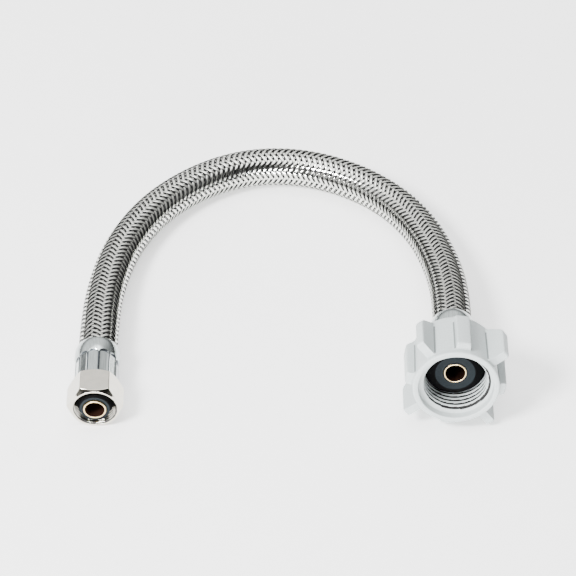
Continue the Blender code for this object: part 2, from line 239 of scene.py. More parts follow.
# A wing's side view as (radius, station) points along its outer edge, front to back.
LONG_WING_EDGE = (
    (19.9 * MM, 2.0 * MM),
    (19.9 * MM, 12.0 * MM),
    (19.82 * MM, 13.1 * MM),
    (19.55 * MM, 14.0 * MM),
    (19.1 * MM, 14.8 * MM),
    (18.5 * MM, 15.4 * MM),
    (13.0 * MM, 19.7 * MM),
)
LONG_WING_HALF_THICKNESS = 1.4 * MM
LONG_WING_START = math.radians(53.3)
SHORT_WING_EDGE = (
    (16.3 * MM, 2.0 * MM),
    (16.3 * MM, 16.2 * MM),
    (16.15 * MM, 17.0 * MM),
    (15.8 * MM, 17.55 * MM),
    (13.0 * MM, 19.9 * MM),
)
SHORT_WING_HALF_THICKNESS = 2.3 * MM
SHORT_WING_START = math.radians(8.3)
# The faces in the roots of the wings, counted round from the start of each wing, are painted with shade in
# the third of the nut's materials.
CREASE_COLUMNS = (0, 1, 2, 24, 25, 26)
CREASE_SPAN = (2.6 * MM, 17.0 * MM)
CREASE_MATERIAL = 2
WING_THREAD_STEPS = 200
WING_ROWS_PER_PITCH = 26
BALLCOCK_TIP_STATION = 7.5 * MM
BALLCOCK_FLANGE_STATION = 12.0 * MM
BALLCOCK_FLANGE_RADIUS = 9.4 * MM
BALLCOCK_FERRULE_STATION = 17.8 * MM
BALLCOCK_WASHER_STATIONS = (7.7 * MM, 10.4 * MM, 11.7 * MM)
BALLCOCK_WASHER_RADII = (6.5 * MM, 9.9 * MM)


# ---------------------------------------------------------------- meshes

def new_piece(name, vertices, faces):
    """A smooth piece, whose faces all have the same number of corners."""
    mesh = bpy.data.meshes.new(name)
    mesh.vertices.add(len(vertices))
    mesh.vertices.foreach_set("co", np.asarray(vertices, dtype=np.float32).ravel())
    faces = np.asarray(faces, dtype=np.int32)
    count, sides = faces.shape
    mesh.loops.add(count * sides)
    mesh.loops.foreach_set("vertex_index", faces.ravel())
    mesh.polygons.add(count)
    mesh.polygons.foreach_set("loop_start", np.arange(count, dtype=np.int32) * sides)
    mesh.update(calc_edges=True)
    mesh.shade_smooth()
    piece = bpy.data.objects.new(name, mesh)
    bpy.context.scene.collection.objects.link(piece)
    return piece


def grid_faces(rows, columns, close_rows, close_columns):
    """Quads between a grid's neighbouring rows and columns, wrapped round where it is closed."""
    row = np.arange(rows if close_rows else rows - 1)
    column = np.arange(columns if close_columns else columns - 1)
    row, column = np.meshgrid(row, column, indexing="ij")
    next_row = (row + 1) % rows
    next_column = (column + 1) % columns
    corners = (
        row * columns + column,
        next_row * columns + column,
        next_row * columns + next_column,
        row * columns + next_column,
    )
    return np.stack(corners, axis=-1).reshape(-1, 4)


def fill_ends(piece):
    """Closes the open ends of a piece's tubes."""
    shape = bmesh.new()
    shape.from_mesh(piece.data)
    open_edges = [edge for edge in shape.edges if edge.is_boundary]
    bmesh.ops.holes_fill(shape, edges=open_edges)
    shape.to_mesh(piece.data)
    shape.free()


def end_frame(mouth, tip):
    """The frame of an end, whose axis is tipped from straight up."""
    return Matrix.Translation(mouth) @ Euler((tip, 0.0, 0.0)).to_matrix().to_4x4()


def ring_piece(name, rows, steps, end):
    """A closed ring from (station, radius) rows, each a number or one value for each step round.

    The rows run down the outside from the front, and then back up the inside.
    """
    angle = np.arange(steps) * 2 * math.pi / steps
    station = np.array([np.broadcast_to(row[0], steps) for row in rows])
    radius = np.array([np.broadcast_to(row[1], steps) for row in rows])
    vertices = np.stack((radius * np.cos(angle), radius * np.sin(angle), -station), axis=-1)
    piece = new_piece(name, vertices.reshape(-1, 3), grid_faces(len(rows), steps, True, True))
    piece.matrix_world = end
    return piece


def rounded(corners):
    """Rows of a closed outline whose (station, radius, rounding) corners are replaced by arcs.

    Each arc has a support row a little way along the straight stretch beside it.
    """
    points = np.array([(station, radius) for station, radius, rounding in corners])
    rows = []
    for i, (station, radius, rounding) in enumerate(corners):
        here = points[i]
        back = points[i - 1] - here
        ahead = points[(i + 1) % len(points)] - here
        half_back = np.linalg.norm(back) / 2
        half_ahead = np.linalg.norm(ahead) / 2
        back = unit(back)
        ahead = unit(ahead)
        half_angle = math.acos(np.clip(back @ ahead, -1.0, 1.0)) / 2
        reach = min(rounding / math.tan(half_angle), ARC_REACH * half_back, ARC_REACH * half_ahead)
        centre = here + unit(back + ahead) * reach / math.cos(half_angle)
        start = here + back * reach
        finish = here + ahead * reach
        if half_back - reach > SUPPORT_ROOM:
            rows.append(start + back * SUPPORT_GAP)
        for step in range(ARC_STEPS + 1):
            share = step / ARC_STEPS
            spoke = unit((1 - share) * unit(start - centre) + share * unit(finish - centre))
            rows.append(centre + spoke * np.linalg.norm(start - centre))
        if half_ahead - reach > SUPPORT_ROOM:
            rows.append(finish + ahead * SUPPORT_GAP)
    return [tuple(row) for row in rows]


def smooth_min(first, second, softness):
    """The lesser of two distances, with the crease between them rounded."""
    blend = np.clip(0.5 + 0.5 * (second - first) / softness, 0.0, 1.0)
    return second * (1 - blend) + first * blend - softness * blend * (1 - blend)


def smooth_step(value, low, high):
    """A smooth rise from 0 to 1 as a value goes from low to high."""
    share = np.clip((value - low) / (high - low), 0.0, 1.0)
    return share * share * (3 - 2 * share)


def fold_angle(angle, count):
    """The signed angle to the nearest of so many directions, spaced evenly from zero."""
    pitch = 2 * math.pi / count
    return (angle + pitch / 2) % pitch - pitch / 2


def unit(vectors):
    """The directions of vectors."""
    return vectors / np.linalg.norm(vectors, axis=-1, keepdims=True)


def thread_height(angle, station, pitch):
    """A right-hand thread's groove: 0 at the crest and 1 at the root, with both rounded."""
    phase = station / pitch + angle / (2 * math.pi)
    ramp = np.abs(2 * (phase % 1.0) - 1.0)
    return smooth_step(ramp, *GROOVE_SLOPE)


# ---------------------------------------------------------------- hose route

def smooth_route(points, samples):
    """Points on a natural cubic spline through the route, spaced by its chord lengths."""
    points = np.array(points)
    knots = np.concatenate(([0.0], np.cumsum(np.linalg.norm(np.diff(points, axis=0), axis=1))))
    steps = np.diff(knots)
    count = len(points)
    matrix = np.eye(count)
    right_side = np.zeros((count, 3))
    for i in range(1, count - 1):
        matrix[i, i - 1] = steps[i - 1]
        matrix[i, i] = 2 * (steps[i - 1] + steps[i])
        matrix[i, i + 1] = steps[i]
        slope_change = (points[i + 1] - points[i]) / steps[i] - (points[i] - points[i - 1]) / steps[i - 1]
        right_side[i] = 6 * slope_change
    curvature = np.linalg.solve(matrix, right_side)
    places = np.linspace(0.0, knots[-1], samples)
    spans = np.clip(np.searchsorted(knots, places, side="right") - 1, 0, count - 2)
    step = steps[spans][:, None]
    after = places[:, None] - knots[spans][:, None]
    before = step - after
    return (
        curvature[spans] * before**3 / (6 * step)
        + curvature[spans + 1] * after**3 / (6 * step)
        + (points[spans] / step - curvature[spans] * step / 6) * before
        + (points[spans + 1] / step - curvature[spans + 1] * step / 6) * after
    )


class Route:
    """The hose's middle line, with an upward and an inward direction at any distance along it."""

    def __init__(self):
        self.points = smooth_route(HOSE_ROUTE, SPLINE_SAMPLES)
        spans = np.linalg.norm(np.diff(self.points, axis=0), axis=1)
        self.along = np.concatenate(([0.0], np.cumsum(spans)))
        self.length = self.along[-1]
        self.forward = unit(np.gradient(self.points, self.along, axis=0))
        up = np.array((0.0, 0.0, 1.0))
        self.up = unit(up - self.forward * (self.forward @ up)[:, None])
        self.inward = np.cross(self.forward, self.up)

    def read(self, table, distance):
        """A table's values at distances along the hose."""
        return np.column_stack([np.interp(distance, self.along, table[:, axis]) for axis in range(3)])

    def place(self, distance, angle, radius):
        """Points at an angle from the top of the hose, towards the inside of its bend."""
        middle = self.read(self.points, distance)
        up = unit(self.read(self.up, distance))
        inward = unit(self.read(self.inward, distance))
        outward = np.cos(angle)[:, None] * up + np.sin(angle)[:, None] * inward
        return middle + outward * np.asarray(radius)[:, None], outward


# ---------------------------------------------------------------- braid

def bundle_section():
    """A bundle's cross-section: wire crests and valleys across its top, and a flat underside."""
    across = np.linspace(-0.5, 0.5, 2 * WIRES + 1)
    height = np.where(np.arange(2 * WIRES + 1) % 2 == 1, WIRE_TOP, WIRE_VALLEY)
    height = height - BUNDLE_CROWN * (2 * across) ** 2
    across = np.concatenate((across, (UNDERSIDE_SHARE, -UNDERSIDE_SHARE))) * BUNDLE_WIDTH
    height = np.concatenate((height, (-BUNDLE_UNDERSIDE, -BUNDLE_UNDERSIDE)))
    return across, height


def bundle_rows(route, carrier, turn_sign):
    """One carrier's bundle: its section, carried along a helix that passes over two and under two."""
    steps = int(route.length / LEAD * STEPS_PER_LEAD)
    distance = np.linspace(0.0, route.length, steps + 1)
    start = BRAID_START_ANGLE + BRAID_TWIST * distance / route.length
    angle = start + 2 * math.pi * (carrier / CARRIERS + turn_sign * distance / LEAD)
    crossing = 2 * carrier + turn_sign * 2 * CARRIERS * distance / LEAD
    over = turn_sign * np.cos(math.pi / 2 * (crossing - 0.5))
    from_end = np.minimum(distance, route.length - distance)
    shrink = np.interp(from_end, (CRIMPED_LENGTH, FULL_LENGTH), (CRIMPED_SHRINK, 1.0))
    radius = (BRAID_MID_RADIUS + FLOAT_HEIGHT * over) * shrink
    middle, outward = route.place(distance, angle, radius)
    forward = unit(np.gradient(middle, axis=0))
    sideways = unit(np.cross(outward, forward))
    across, height = bundle_section()
    return (
        middle[:, None, :]
        + sideways[:, None, :] * across[None, :, None]
        + outward[:, None, :] * height[None, :, None]
    )


def make_strands(name, route, turn_sign):
    """The twelve bundles that wind one way, as closed ribbons in one piece."""
    vertices = []
    faces = []
    for carrier in range(CARRIERS):
        rows = bundle_rows(route, carrier, turn_sign)
        quads = grid_faces(rows.shape[0], rows.shape[1], False, True)
        faces.append(quads + sum(len(part) for part in vertices))
        vertices.append(rows.reshape(-1, 3))
    strands = new_piece(name, np.concatenate(vertices), np.concatenate(faces))
    # The outer strips of each bundle are painted with shade.
    strip = np.arange(len(strands.data.polygons)) % rows.shape[1]
    mark_faces(strands, (strip < SHADED_STRIPS) | (strip >= 2 * WIRES - SHADED_STRIPS))
    fill_ends(strands)
    return strands


# ---------------------------------------------------------------- end fittings

def make_insert(name, tip_station, flange_station, flange_radius, ferrule_station, end):
    """A brass tube with a flange, a neck for the ferrule's lip and a barbed tail."""
    flange_rear = flange_station + FLANGE_THICKNESS
    neck_rear = ferrule_station + FERRULE_WALL
    corners = [
        (tip_station, TIP_RADIUS, TIP_ROUNDING),
        (flange_station, TIP_RADIUS, EDGE_ROUNDING),
        (flange_station, flange_radius, EDGE_ROUNDING),
        (flange_rear, flange_radius, EDGE_ROUNDING),
        (flange_rear, NECK_RADIUS, EDGE_ROUNDING),
        (neck_rear, NECK_RADIUS, EDGE_ROUNDING),
        (neck_rear, BARB_ROOT_RADIUS, EDGE_ROUNDING),
    ]
    for i in range(BARB_COUNT):
        barb_station = ferrule_station + BARB_START + i * BARB_PITCH
        corners.append((barb_station, BARB_RADIUS, BARB_ROUNDING))
        corners.append((barb_station + BARB_PITCH / 2, BARB_ROOT_RADIUS, BARB_ROUNDING))
    corners.append((barb_station + BARB_PITCH / 2, BORE_RADIUS, EDGE_ROUNDING))
    corners.append((tip_station, BORE_RADIUS, TIP_ROUNDING))
    rows = rounded(corners)
    insert = ring_piece(name, rows, INSERT_STEPS, end)
    # The bore's faces are painted near-black brown as shade, instead of brass.
    in_bore = [radius < BORE_RADIUS + BORE_MARGIN for _, radius in rows]
    mark_faces(insert, np.repeat(in_bore, INSERT_STEPS))
    return insert


def make_washer(name, stations, radii, end):
    """A moulded rubber cone, with soft edges, round the insert's tip."""
    front, shoulder, rear = stations
    face_radius, outer_radius = radii
    inner_radius = TIP_RADIUS + WASHER_GAP
    corners = (
        (front, face_radius),
        (shoulder, outer_radius),
        (rear, outer_radius),
        (rear, inner_radius),
        (front, inner_radius),
    )
    rows = rounded([(*corner, rounding) for corner, rounding in zip(corners, WASHER_ROUNDINGS)])
    washer = ring_piece(name, rows, INSERT_STEPS, end)
    # The cone's flank is painted near-black as shade, since it lies in shadow inside the nut.
    on_cone = [radius > face_radius - WASHER_FACE_MARGIN and station < rear for station, radius in rows]
    mark_faces(washer, np.repeat(on_cone, INSERT_STEPS))
    return washer


def scoop_rise(angle, station):
    """How far the steel has risen from the crimped flats to the round bulge, from 0 to 1."""
    off_flat = fold_angle(angle - CRIMP_TURN, CRIMP_FLATS)
    across = np.clip(np.abs(off_flat) / (math.pi / CRIMP_FLATS), 0.0, 1.0)
    scoop = CRIMP_LENGTH + SCOOP_LENGTH * (np.sqrt(1 - SCOOP_ROUNDNESS * across**2) - 1)
    return smooth_step(station, scoop, scoop + SCOOP_RISE)


def ferrule_outer_radius(angle, station):
    """Twelve crimped flats with pinched ribs between, which end in scoops under a round bulge."""
    off_flat = fold_angle(angle - CRIMP_TURN, CRIMP_FLATS)
    off_rib = (math.pi / CRIMP_FLATS - np.abs(off_flat)) * CRIMP_APOTHEM
    flat = CRIMP_APOTHEM / np.cos(off_flat) + RIB_HEIGHT * np.exp(-((off_rib / RIB_WIDTH) ** 2))
    raised = scoop_rise(angle, station)
    along = (station - BULGE_STATION) / (FERRULE_LENGTH - BULGE_STATION)
    bulge = BULGE_RADIUS - (BULGE_RADIUS - FERRULE_REAR_RADIUS) * along**2
    return flat * (1 - raised) + bulge * raised


def make_ferrule(name, front, end):
    """A drawn steel cup, crimped over the hose."""
    angle = np.arange(FERRULE_STEPS) * 2 * math.pi / FERRULE_STEPS
    rows = []
    for share in np.linspace(0.0, 1.0, LIP_ROWS):
        turn = share * math.pi / 2
        radius = LIP_RADIUS + (ferrule_outer_radius(angle, FERRULE_WALL) - LIP_RADIUS) * math.sin(turn)
        rows.append((front + FERRULE_WALL * (1 - math.cos(turn)), radius))
    for station in FERRULE_STATIONS:
        rows.append((front + station, ferrule_outer_radius(angle, station)))
    outer_rows = len(rows) - 1
    rear_middle = (FERRULE_REAR_RADIUS + FERRULE_REAR_INNER_RADIUS) / 2
    rows.append((front + FERRULE_LENGTH + FERRULE_REAR_CROWN, rear_middle + FERRULE_REAR_HALF_FLAT))
    rows.append((front + FERRULE_LENGTH + FERRULE_REAR_CROWN, rear_middle - FERRULE_REAR_HALF_FLAT))
    rows.append((front + FERRULE_LENGTH, FERRULE_REAR_INNER_RADIUS))
    rows.append((front + BULGE_STATION, BULGE_INNER_RADIUS))
    rows.append((front + CRIMP_LENGTH, CRIMP_INNER_RADIUS))
    rows.append((front + FERRULE_WALL, CRIMP_INNER_RADIUS))
    rows.append((front + FERRULE_WALL, LIP_INNER_RADIUS))
    rows.append((front, LIP_INNER_RADIUS))
    ferrule = ring_piece(name, rows, FERRULE_STEPS, end)
    middle = angle + math.pi / FERRULE_STEPS
    off_rib = (math.pi / CRIMP_FLATS - np.abs(fold_angle(middle - CRIMP_TURN, CRIMP_FLATS))) * CRIMP_APOTHEM
    shaded = []
    for i, (station, _) in enumerate(rows):
        if i < outer_rows:
            risen = scoop_rise(middle, station - front)
            beside_rib = (off_rib < RIB_SHADE) & (risen < SCOOP_SHADE[1])
            shaded.append(beside_rib | (risen > SCOOP_SHADE[0]) & (risen < SCOOP_SHADE[1]))
        else:
            shaded.append(np.zeros(FERRULE_STEPS, dtype=bool))
    mark_faces(ferrule, np.concatenate(shaded))
    return ferrule


def make_compression_nut(end):
    """A polished hex nut with chamfered faces, a countersunk mouth and a fine thread."""
    angle = np.arange(HEX_STEPS) * 2 * math.pi / HEX_STEPS
    off_flat = fold_angle(angle - math.pi / 2, 6)
    flat = HEX_ACROSS_FLATS / 2 / np.cos(off_flat)
    next_flat = HEX_ACROSS_FLATS / 2 / np.cos(math.pi / 3 - np.abs(off_flat))
    hexagon = smooth_min(flat, next_flat, HEX_CORNER_SOFTNESS)
    slope = 1 / math.tan(HEX_CHAMFER_ANGLE)
    chamfer = [
        (depth, smooth_min(hexagon, HEX_FACE_RADIUS + depth * slope, HEX_CHAMFER_SOFTNESS))
        for depth in HEX_CHAMFER_DEPTHS
    ]
    rows = [(0.0, HEX_FACE_RADIUS - HEX_FACE_BREAK), *chamfer]
    rows.extend((HEX_LENGTH - depth, radius) for depth, radius in chamfer[::-1])
    rows.append((HEX_LENGTH, HEX_FACE_RADIUS - HEX_FACE_BREAK))
    rows.append((HEX_LENGTH, HEX_HOLE_RADIUS + HEX_EDGE_BREAK))
    rows.append((HEX_LENGTH - HEX_EDGE_BREAK, HEX_HOLE_RADIUS))
    rows.append((HEX_WALL_STATION, HEX_HOLE_RADIUS))
    rows.append((HEX_WALL_STATION, HEX_THREAD_MINOR))
    grooves = [np.zeros(HEX_STEPS, dtype=bool)] * len(rows)
    count = int(HEX_WALL_STATION / HEX_THREAD_PITCH * HEX_ROWS_PER_PITCH)
    for station in np.linspace(HEX_WALL_STATION - HEX_WALL_GAP, 0.0, count):
        cut = thread_height(angle, station, HEX_THREAD_PITCH)
        cut = cut * smooth_step(HEX_WALL_STATION - station, 0.0, HEX_THREAD_PITCH)
        thread = HEX_THREAD_MINOR + (HEX_THREAD_MAJOR - HEX_THREAD_MINOR) * cut
        mouth = np.interp(station, (0.0, HEX_MOUTH_DEPTH), (HEX_MOUTH_RADIUS, HEX_THREAD_MINOR))
        rows.append((station, np.maximum(thread, mouth)))
        grooves.append((cut > GROOVE_SHADE) & (thread > mouth))
    rows.append((0.0, HEX_MOUTH_RADIUS + HEX_EDGE_BREAK))
    grooves.append(np.zeros(HEX_STEPS, dtype=bool))
    nut = ring_piece("hex_nut", rows, HEX_STEPS, end)
    mark_faces(nut, np.concatenate(grooves))
    return nut


def wing_outer_radius(station, edge):
    """How far a wing stands out, with the front corner of its edge rounded."""
    front = edge[0][1]
    if station < front:
        return 0.0
    radius = np.interp(station, [point[1] for point in edge], [point[0] for point in edge])
    from_front = min((station - front) / WING_FRONT_ROUNDING, 1.0)
    return float(radius) - WING_FRONT_ROUNDING * (1 - math.sqrt(1 - (1 - from_front) ** 2))


def wing_section(height, half_thickness):
    """Half of a wing's end view, root to tip: (how high, how far from the middle of the wing)."""
    fillet = WING_FILLET
    corner = WING_ROUNDING
    turns = [math.pi / 2 * step / WING_ARC_STEPS for step in range(WING_ARC_STEPS + 1)]
    points = []
    for turn in turns:
        points.append((fillet * (1 - math.cos(turn)), half_thickness + fillet * (1 - math.sin(turn))))
    points.append((fillet + WING_SUPPORT, half_thickness))
    points.append((height - corner - WING_SUPPORT, half_thickness))
    for turn in turns:
        points.append(
            (height - corner * (1 - math.sin(turn)), half_thickness - corner * (1 - math.cos(turn)))
        )
    points.append((height, half_thickness - corner - WING_SUPPORT))
    points.append((height, WING_TOP_SHARE * (half_thickness - corner)))
    return [(min(max(rise, 0.0), height), side) for rise, side in points]


def wing_nut_section(body_radius, long_radius, short_radius):
    """The nut's outline across its axis: the round body with its eight wings."""
    points = []
    for i in range(WING_PAIRS):
        turned_by = 2 * math.pi * i / WING_PAIRS
        wings = (
            (SHORT_WING_START, short_radius, SHORT_WING_HALF_THICKNESS, LONG_WING_HALF_THICKNESS),
            (LONG_WING_START, long_radius, LONG_WING_HALF_THICKNESS, SHORT_WING_HALF_THICKNESS),
        )
        for wing_start, wing_radius, half_thickness, next_half_thickness in wings:
            middle = wing_start + turned_by
            height = max(wing_radius - body_radius, WING_LEAST_HEIGHT)
            half = wing_section(height, half_thickness)
            outline = [(rise, -side) for rise, side in half] + [(rise, side) for rise, side in half[::-1]]
            for rise, side in outline:
                out = math.sqrt(body_radius**2 - side**2) + rise
                points.append(
                    (
                        out * math.sin(middle) + side * math.cos(middle),
                        out * math.cos(middle) - side * math.sin(middle),
                    )
                )
            root = math.asin((half_thickness + WING_FILLET) / body_radius)
            next_middle = middle + math.pi / WING_PAIRS
            next_root = math.asin((next_half_thickness + WING_FILLET) / body_radius)
            for share in np.linspace(0.0, 1.0, WING_GAP_STEPS + 1)[1:-1]:
                angle = (middle + root) * (1 - share) + (next_middle - next_root) * share
                points.append((body_radius * math.sin(angle), body_radius * math.cos(angle)))
    return points


def wing_body_radius(station):
    """The rim in front, the body behind it, and the rounded back."""
    from_front = min(station / RIM_ROUNDING, 1.0)
    rim_front = RIM_RADIUS - RIM_ROUNDING * (1 - math.sqrt(1 - (1 - from_front) ** 2))
    step = smooth_step(station, RIM_LENGTH, RIM_LENGTH + RIM_STEP_LENGTH)
    draft = np.interp(station, (RIM_LENGTH, WING_BODY_STATION), (WING_BODY_FRONT_RADIUS, WING_BODY_RADIUS))
    body = rim_front * (1 - step) + draft * step
    share = np.clip((station - WING_BODY_STATION) / (WING_NUT_LENGTH - WING_BODY_STATION), 0.0, 1.0)
    return float(body - (WING_BODY_RADIUS - WING_BACK_RADIUS) * (1 - math.sqrt(1 - share**2)))


def wing_nut_stations():
    """The shell's rows, which are close together where its outline bends."""
    front = LONG_WING_EDGE[0][1]
    bend = LONG_WING_EDGE[1][1]
    wing_front = front + WING_FRONT_ROUNDING * (1 - np.cos(np.linspace(0.0, math.pi / 2, 8)))
    straight = np.linspace(front + WING_FRONT_ROUNDING + WING_SUPPORT, bend - 2 * WING_SUPPORT, 6)
    tail = np.linspace(bend, WING_TAIL_END, 41)
    back = np.linspace(WING_BACK_START, WING_NUT_LENGTH, 8)
    return np.concatenate((RIM_STATIONS, wing_front, straight, tail, back))


def make_wing_nut(end):
    """A moulded nut with a rim, eight wings and a coarse thread in its bore."""
    outer = []
    for station in wing_nut_stations():
        section = wing_nut_section(
            wing_body_radius(station),
            wing_outer_radius(station, LONG_WING_EDGE),
            wing_outer_radius(station, SHORT_WING_EDGE),
        )
        outer.append([(x, y, -station) for x, y in section])
    outer = np.array(outer)
    columns = outer.shape[1]
    angle = np.arctan2(outer[0, :, 1], outer[0, :, 0])
    bore = (
        (WING_NUT_LENGTH, COUNTERBORE_RADIUS + COUNTERBORE_BREAK),
        (WING_NUT_LENGTH - COUNTERBORE_BREAK, COUNTERBORE_RADIUS),
        (SHOULDER_REAR_STATION, COUNTERBORE_RADIUS),
        (SHOULDER_REAR_STATION, SHOULDER_HOLE_RADIUS),
        (SHOULDER_STATION, SHOULDER_HOLE_RADIUS),
        (SHOULDER_STATION, WING_MOUTH_RADIUS),
        *((station, WING_MOUTH_RADIUS + widening) for station, widening in MOUTH_BREAK),
    )
    inner = np.array(
        [
            np.column_stack((radius * np.cos(angle), radius * np.sin(angle), np.full(columns, -station)))
            for station, radius in bore
        ]
    )
    rows = np.concatenate((outer, inner))
    nut = new_piece("wing_nut_shell", rows.reshape(-1, 3), grid_faces(len(rows), columns, True, True))
    # The roots of the wings are painted darker as shade.
    between_wings = np.isin(np.arange(columns) % (columns // (2 * WING_PAIRS)), CREASE_COLUMNS)
    along_wings = (-rows[:, 0, 2] > CREASE_SPAN[0]) & (-rows[:, 0, 2] < CREASE_SPAN[1])
    along_wings[len(outer):] = False
    mark_faces(nut, CREASE_MATERIAL * (along_wings[:, None] & between_wings[None, :]).ravel())
    flip_faces(nut)
    nut.matrix_world = end
    return nut


def flip_faces(piece):
    """Turns the other side of every face outwards."""
    shape = bmesh.new()
    shape.from_mesh(piece.data)
    bmesh.ops.reverse_faces(shape, faces=shape.faces[:])
    shape.to_mesh(piece.data)
    shape.free()


def make_wing_thread(end):
    """The threaded lining of the wing nut's bore, which starts at the back of a plain recess."""
    angle = np.arange(WING_THREAD_STEPS) * 2 * math.pi / WING_THREAD_STEPS
    sleeve = WING_MOUTH_RADIUS + LINING_DEPTH
    rear = SHOULDER_STATION + LINING_REAR_DEPTH
    rows = [(WING_MOUTH_DEPTH, sleeve), (rear, sleeve), (rear, WING_THREAD_MINOR)]
    grooves = [np.zeros(WING_THREAD_STEPS, dtype=bool)] * len(rows)
    count = int((SHOULDER_STATION - WING_MOUTH_DEPTH) / WING_THREAD_PITCH * WING_ROWS_PER_PITCH)
    for station in np.linspace(SHOULDER_STATION, WING_MOUTH_DEPTH, count):
        cut = thread_height(angle, station - WING_THREAD_START, WING_THREAD_PITCH)
        cut = cut * smooth_step(WING_THREAD_END - station, -WING_THREAD_PITCH / 2, WING_THREAD_PITCH / 2)
        thread = WING_THREAD_MINOR + (WING_THREAD_MAJOR - WING_THREAD_MINOR) * cut
        lead_in = WING_MOUTH_RADIUS - (station - WING_MOUTH_DEPTH) * LEAD_IN_SLOPE
        rows.append((station, np.maximum(thread, lead_in)))
        # The deeper part of each groove is painted with shade, in the nut's second material.
        grooves.append((cut > GROOVE_SHADE) & (thread > lead_in))
    thread_piece = ring_piece("wing_nut_thread", rows, WING_THREAD_STEPS, end)
    mark_faces(thread_piece, np.concatenate(grooves))
    return thread_piece


def join(piece, *others):
    """Makes the other pieces part of the first."""
    with bpy.context.temp_override(active_object=piece, selected_editable_objects=[piece, *others]):
        bpy.ops.object.join()
    return piece


# ---------------------------------------------------------------- materials

def add_range(nodes, links, source, span, values):
    """A smooth step of a value over a span, from one value to another."""
    step = nodes.new("ShaderNodeMapRange")
    step.interpolation_type = "SMOOTHSTEP"
    step.inputs["From Min"].default_value = span[0]
    step.inputs["From Max"].default_value = span[1]
    step.inputs["To Min"].default_value = values[0]
    step.inputs["To Max"].default_value = values[1]
    links.new(source, step.inputs["Value"])
    return step.outputs["Result"]


# Each grain: its size across and along a piece's own axis, the shares of the colour and of the
# roughness that it changes, and its relief.
GRAINS = {
    "drawn": ((0.5 * MM, 5.0 * MM), 0.10, 0.35, 0.003 * MM),
    "machined": ((1.5 * MM, 0.15 * MM), 0.08, 0.30, 0.004 * MM),
    "plated": ((2.5 * MM, 2.5 * MM), 0.03, 0.25, 0.001 * MM),
    "moulded": ((0.6 * MM, 0.6 * MM), 0.04, 0.15, 0.006 * MM),
    "rubbery": ((0.2 * MM, 0.2 * MM), 0.10, 0.10, 0.006 * MM),
    "coated": ((8.0 * MM, 8.0 * MM), 0.01, 0.05, 0.002 * MM),
}
GRAIN_SPAN = (0.3, 0.7)
GRAIN_DETAIL = 3.0


def new_material(name, colour, roughness, metallic, grain, gloss=0.5):
    """A surface whose colour, roughness and relief all vary with its grain."""
    (across, along), colour_share, roughness_share, relief = GRAINS[grain]
    material = bpy.data.materials.new(name)
    material.use_nodes = True
    nodes = material.node_tree.nodes
    links = material.node_tree.links
    shader = nodes["Principled BSDF"]
    shader.inputs["Metallic"].default_value = metallic
    shader.inputs["Specular IOR Level"].default_value = gloss
    place = nodes.new("ShaderNodeTexCoord")
    stretch = nodes.new("ShaderNodeMapping")
    stretch.inputs["Scale"].default_value = (1 / across, 1 / across, 1 / along)
    noise = nodes.new("ShaderNodeTexNoise")
    noise.inputs["Scale"].default_value = 1.0
    noise.inputs["Detail"].default_value = GRAIN_DETAIL
    links.new(place.outputs["Object"], stretch.inputs["Vector"])
    links.new(stretch.outputs["Vector"], noise.inputs["Vector"])
    tint = nodes.new("ShaderNodeMix")
    tint.data_type = "RGBA"
    tint.inputs["A"].default_value = (*(channel * (1 - colour_share) for channel in colour), 1.0)
    tint.inputs["B"].default_value = (*(channel * (1 + colour_share) for channel in colour), 1.0)
    mottle = add_range(nodes, links, noise.outputs["Fac"], GRAIN_SPAN, (0.0, 1.0))
    links.new(mottle, tint.inputs["Factor"])
    links.new(tint.outputs["Result"], shader.inputs["Base Color"])
    polish = (roughness * (1 + roughness_share), roughness * (1 - roughness_share))
    links.new(add_range(nodes, links, noise.outputs["Fac"], GRAIN_SPAN, polish), shader.inputs["Roughness"])
    bump = nodes.new("ShaderNodeBump")
    bump.inputs["Distance"].default_value = relief
    links.new(noise.outputs["Fac"], bump.inputs["Height"])
    links.new(bump.outputs["Normal"], shader.inputs["Normal"])
    return material


def paint(piece, *materials):
    """Gives a piece its materials, in the order of its faces' material numbers."""
    numbers = np.zeros(len(piece.data.polygons), dtype=np.int32)
    piece.data.polygons.foreach_get("material_index", numbers)
    piece.data.materials.clear()
    for material in materials:
        piece.data.materials.append(material)
    piece.data.polygons.foreach_set("material_index", numbers)


def mark_faces(piece, numbers):
    """Sets the number of each face's material. False stands for the first, and True for the second."""
    piece.data.polygons.foreach_set("material_index", np.asarray(numbers, dtype=np.int32))


def install(piece, materials, body, slot, *nodes):
    """Paints a piece, rides it on its body and lets it stand for its CAD nodes."""
    paint(piece, *materials)
    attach(piece, body)
    if nodes:
        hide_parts(*nodes)


route = Route()
compression_end = end_frame(COMPRESSION_MOUTH, COMPRESSION_TIP)
ballcock_end = end_frame(BALLCOCK_MOUTH, BALLCOCK_TIP)

cw_strands = make_strands("braid_right_hand_strands", route, 1)
ccw_strands = make_strands("braid_left_hand_strands", route, -1)
wire = new_material("braid_wire", (0.84, 0.85, 0.80), 0.15, 1.0, "plated")
# Painted shade: a near-black copy of the wire for the outer strips of every bundle, where shade falls
# between bundles.
shaded_wire = new_material("shaded_braid_wire", (0.03, 0.03, 0.03), 0.4, 1.0, "plated")
install(cw_strands, (wire, shaded_wire), "hose", "braided_steel", "braid_sleeve")
install(ccw_strands, (wire, shaded_wire), "hose", "braided_steel")
tube_rubber = new_material("tube_rubber", (0.02, 0.02, 0.022), 0.5, 0.0, "rubbery")
paint(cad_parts["inner_tube"], tube_rubber)

nickel = new_material("polished_nickel", (0.63, 0.60, 0.53), 0.1, 1.0, "plated")
thread_shadow = new_material("thread_shadow", (0.05, 0.05, 0.05), 0.5, 1.0, "plated")
hex_nut = make_compression_nut(compression_end)
install(hex_nut, (nickel, thread_shadow), "compression_nut", "polished_nickel", "compression_nut")

